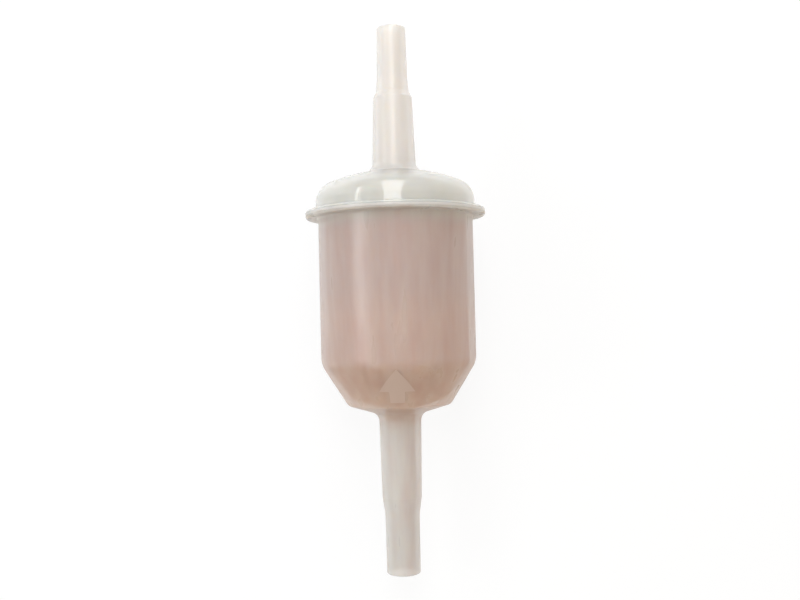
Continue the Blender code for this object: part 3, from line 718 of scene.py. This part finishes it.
def make_finishes():
    """All finishes of the filter, by what they cover."""
    return {
        "cup": finish("milky_cup_nylon", (0.675, 0.64, 0.575), (0.61, 0.515, 0.46), (0.26, 0.34),
                      streaks=0.8, relief=(500.0, 0.000008, 0.3), alpha=0.62,
                      subsurface=0.6, shine=0.6,
                      # First tint: painted shade that makes the inlet tip a little darker
                      tints=(((0.95, 0.95, 0.96), -0.02, -0.01, 0.006, 0.018),
                             ((1.01, 1.05, 1.10), -0.02, -0.01, 0.0270, 0.0325),
                             ((0.96, 0.76, 0.66), 0.0285, 0.0335, 0.0405, 0.0435),
                             ((0.95, 0.80, 0.77), 0.0405, 0.0435, 0.0675, 0.0712),
                             ((0.96, 0.955, 0.965), 0.0345, 0.0385, 0.0455, 0.055),
                             # Last tint: painted shadow of the flange, darker and cooler on the cup
                             # wall just under it
                             ((0.91, 0.95, 1.0), 0.048, 0.058, 0.0685, 0.0712))),
        "arrow": finish("raised_arrow_nylon", (0.545, 0.41, 0.335), (0.52, 0.39, 0.32), (0.3, 0.4),
                        relief=(500.0, 0.000008, 0.3), alpha=0.8),
        "lid": finish("milky_lid_nylon", (0.70, 0.697, 0.66), (0.685, 0.682, 0.645), (0.3, 0.4),
                      relief=(400.0, 0.000006, 0.3), alpha=0.56, subsurface=0.6, shine=0.25,
                      # Outlet spigot tint: a warmer cream tone of its plastic, and painted light
                      # that makes the spigot lighter than the crown
                      tints=(((1.05, 1.005, 1.015), 0.0785, 0.082, 0.2, 0.3),),
                      gloss=(0.3, 0.85, 0.05, 0.06, 0.0785, 0.0815)),
        "seam": finish("welded_joint_nylon", (0.84, 0.79, 0.73), (0.80, 0.75, 0.69), (0.2, 0.3),
                       alpha=0.7, subsurface=0.6),
        "paper": finish("filter_paper_fibre", (0.62, 0.37, 0.35), (0.46, 0.30, 0.28), (0.8, 0.95),
                        streaks=0.9, relief=(2600.0, 0.00005, 0.6)),
        "cap": finish("end_cap_resin", (0.50, 0.34, 0.27), (0.46, 0.31, 0.24), (0.5, 0.6)),
        "glue": finish("pleat_glue", (0.55, 0.38, 0.29), (0.49, 0.33, 0.25), (0.3, 0.45)),
        "core": finish("core_plastic", (0.72, 0.68, 0.62), (0.68, 0.63, 0.57), (0.4, 0.5)),
        "rubber": finish("seal_rubber", (0.02, 0.02, 0.02), (0.03, 0.03, 0.03), (0.6, 0.75)),
    }


def dress_node(node, material):
    """Give a carried-over node of the frame its finish."""
    piece = frame["nodes"][node]
    piece.data.materials.clear()
    piece.data.materials.append(material)


def build_filter():
    """All pieces of the filter with their finishes."""
    finishes = make_finishes()
    settle(cup_shell(), finishes["cup"], "cup_plastic", "housing_cup")
    settle(lid_shell(), finishes["lid"], "lid_plastic", "housing_lid")
    settle(weld_seam(), finishes["seam"], "cup_plastic")
    settle(raised_arrow(), finishes["arrow"], "cup_plastic")
    settle(pleated_paper(), finishes["paper"], "paper", "filter_paper")
    dress_node("element_lower_cap", finishes["cap"])
    dress_node("element_upper_cap", finishes["cap"])
    dress_node("lower_adhesive", finishes["glue"])
    dress_node("upper_adhesive", finishes["glue"])
    dress_node("support_core", finishes["core"])
    dress_node("outlet_seal", finishes["rubber"])


def add_floor():
    """Plain pale floor, which keeps the filter's shadow."""
    shape = bmesh.new()
    bmesh.ops.create_circle(shape, cap_ends=True, radius=FLOOR_RADIUS, segments=96)
    mesh = bpy.data.meshes.new("floor")
    shape.to_mesh(mesh)
    shape.free()
    floor = bpy.data.objects.new("floor", mesh)
    floor.location = (0, 0, -FLOOR_DROP)
    bpy.context.scene.collection.objects.link(floor)
    paint = bpy.data.materials.new("pale_floor")
    paint.use_nodes = True
    tree = paint.node_tree
    shader = tree.nodes["Principled BSDF"]
    shader.inputs["Base Color"].default_value = (FLOOR_TONE, FLOOR_TONE, FLOOR_TONE, 1)
    shader.inputs["Roughness"].default_value = 0.9
    glow = tree.nodes.new("ShaderNodeEmission")
    glow.inputs["Color"].default_value = (1, 1, 1, 1)
    glow.inputs["Strength"].default_value = 1.0
    rays = tree.nodes.new("ShaderNodeLightPath")
    share = tree.nodes.new("ShaderNodeMath")
    share.operation = "MULTIPLY"
    share.inputs[1].default_value = FLOOR_WHITE
    tree.links.new(rays.outputs["Is Camera Ray"], share.inputs[0])
    mix = tree.nodes.new("ShaderNodeMixShader")
    tree.links.new(share.outputs["Value"], mix.inputs["Fac"])
    tree.links.new(shader.outputs["BSDF"], mix.inputs[1])
    tree.links.new(glow.outputs["Emission"], mix.inputs[2])
    tree.links.new(mix.outputs["Shader"], tree.nodes["Material Output"].inputs["Surface"])
    mesh.materials.append(paint)


def softbox(name, level, side, rise, distance, width, height, power, colour=(1, 1, 1)):
    """A soft lamp aimed at a level of the axis, from a side angle and a rise to the outlet."""
    side, rise = math.radians(side), math.radians(rise)
    across = AXIS.to_3x3() @ Vector((1, 0, 0))
    outward = across * math.sin(side) + ARROW_SIDE * math.cos(side)
    away = outward * math.cos(rise) + ALONG * math.sin(rise)
    lamp = bpy.data.lights.new(name, "AREA")
    lamp.shape = "RECTANGLE"
    lamp.size = width
    lamp.size_y = height
    lamp.energy = power
    lamp.color = colour
    made = bpy.data.objects.new(name, lamp)
    made.visible_camera = False
    bpy.context.scene.collection.objects.link(made)
    made.location = AXIS @ Vector((0, 0, level)) + away * distance
    right = ALONG.cross(away).normalized()
    up = away.cross(right).normalized()
    made.rotation_euler = Matrix((right, up, away)).transposed().to_euler()
    return made


def add_light():
    """Plain soft studio light: three softboxes that the gloss mirrors, and three soft fills."""
    # Each lamp: level on the axis, side angle, rise, distance, width, height, power, colour
    softbox("front_softbox", 0.095, -3, 37, 0.276, 0.13, 0.363, 0.73)
    softbox("left_strip", 0.075, -55, 22.5, 0.45, 0.045, 0.245, 0.24)
    softbox("left_window", 0.058, -53, -3, 0.45, 0.11, 0.18, 0.41)
    for fill in (softbox("left_fill", 0.045, -50, -22, 0.45, 0.28, 0.5, 0.5, (0.97, 1.0, 0.97)),
                 softbox("right_fill", 0.045, 52, -10, 0.5, 0.8, 0.6, 1.5, (1.0, 0.89, 0.75)),
                 softbox("low_fill", 0.03, 20, -45, 0.45, 0.5, 0.3, 0.1)):
        fill.visible_glossy = False
    world = bpy.data.worlds.new("studio")
    world.use_nodes = True
    tree = world.node_tree
    back = tree.nodes["Background"]
    back.inputs["Color"].default_value = (1, 1, 1, 1)
    rays = tree.nodes.new("ShaderNodeLightPath")
    level = tree.nodes.new("ShaderNodeMapRange")
    level.inputs["To Min"].default_value = STUDIO_LEVEL
    level.inputs["To Max"].default_value = 1.0
    tree.links.new(rays.outputs["Is Camera Ray"], level.inputs["Value"])
    tree.links.new(level.outputs["Result"], back.inputs["Strength"])
    bpy.context.scene.world = world


def add_camera():
    """The photograph's view: square to the filter's axis, with its slight roll."""
    lens = bpy.data.cameras.new("camera")
    lens.lens = CAMERA_LENS
    lens.sensor_width = 36.0
    lens.clip_start = 0.01
    lens.clip_end = 10.0
    camera = bpy.data.objects.new("camera", lens)
    bpy.context.scene.collection.objects.link(camera)
    place = AXIS @ Vector((CAMERA_SIDE, -CAMERA_DISTANCE, CAMERA_FOOT))
    aim = AXIS @ Vector((CAMERA_SIDE, 0, CAMERA_AIM))
    back = (place - aim).normalized()
    right = ALONG.cross(back).normalized()
    up = back.cross(right).normalized()
    turn = Matrix((right, up, back)).transposed() @ Matrix.Rotation(-CAMERA_ROLL, 3, "Z")
    camera.location = place
    camera.rotation_euler = turn.to_euler()
    bpy.context.scene.camera = camera


build_filter()
add_floor()
add_light()
add_camera()
bpy.context.scene.view_settings.view_transform = "Standard"
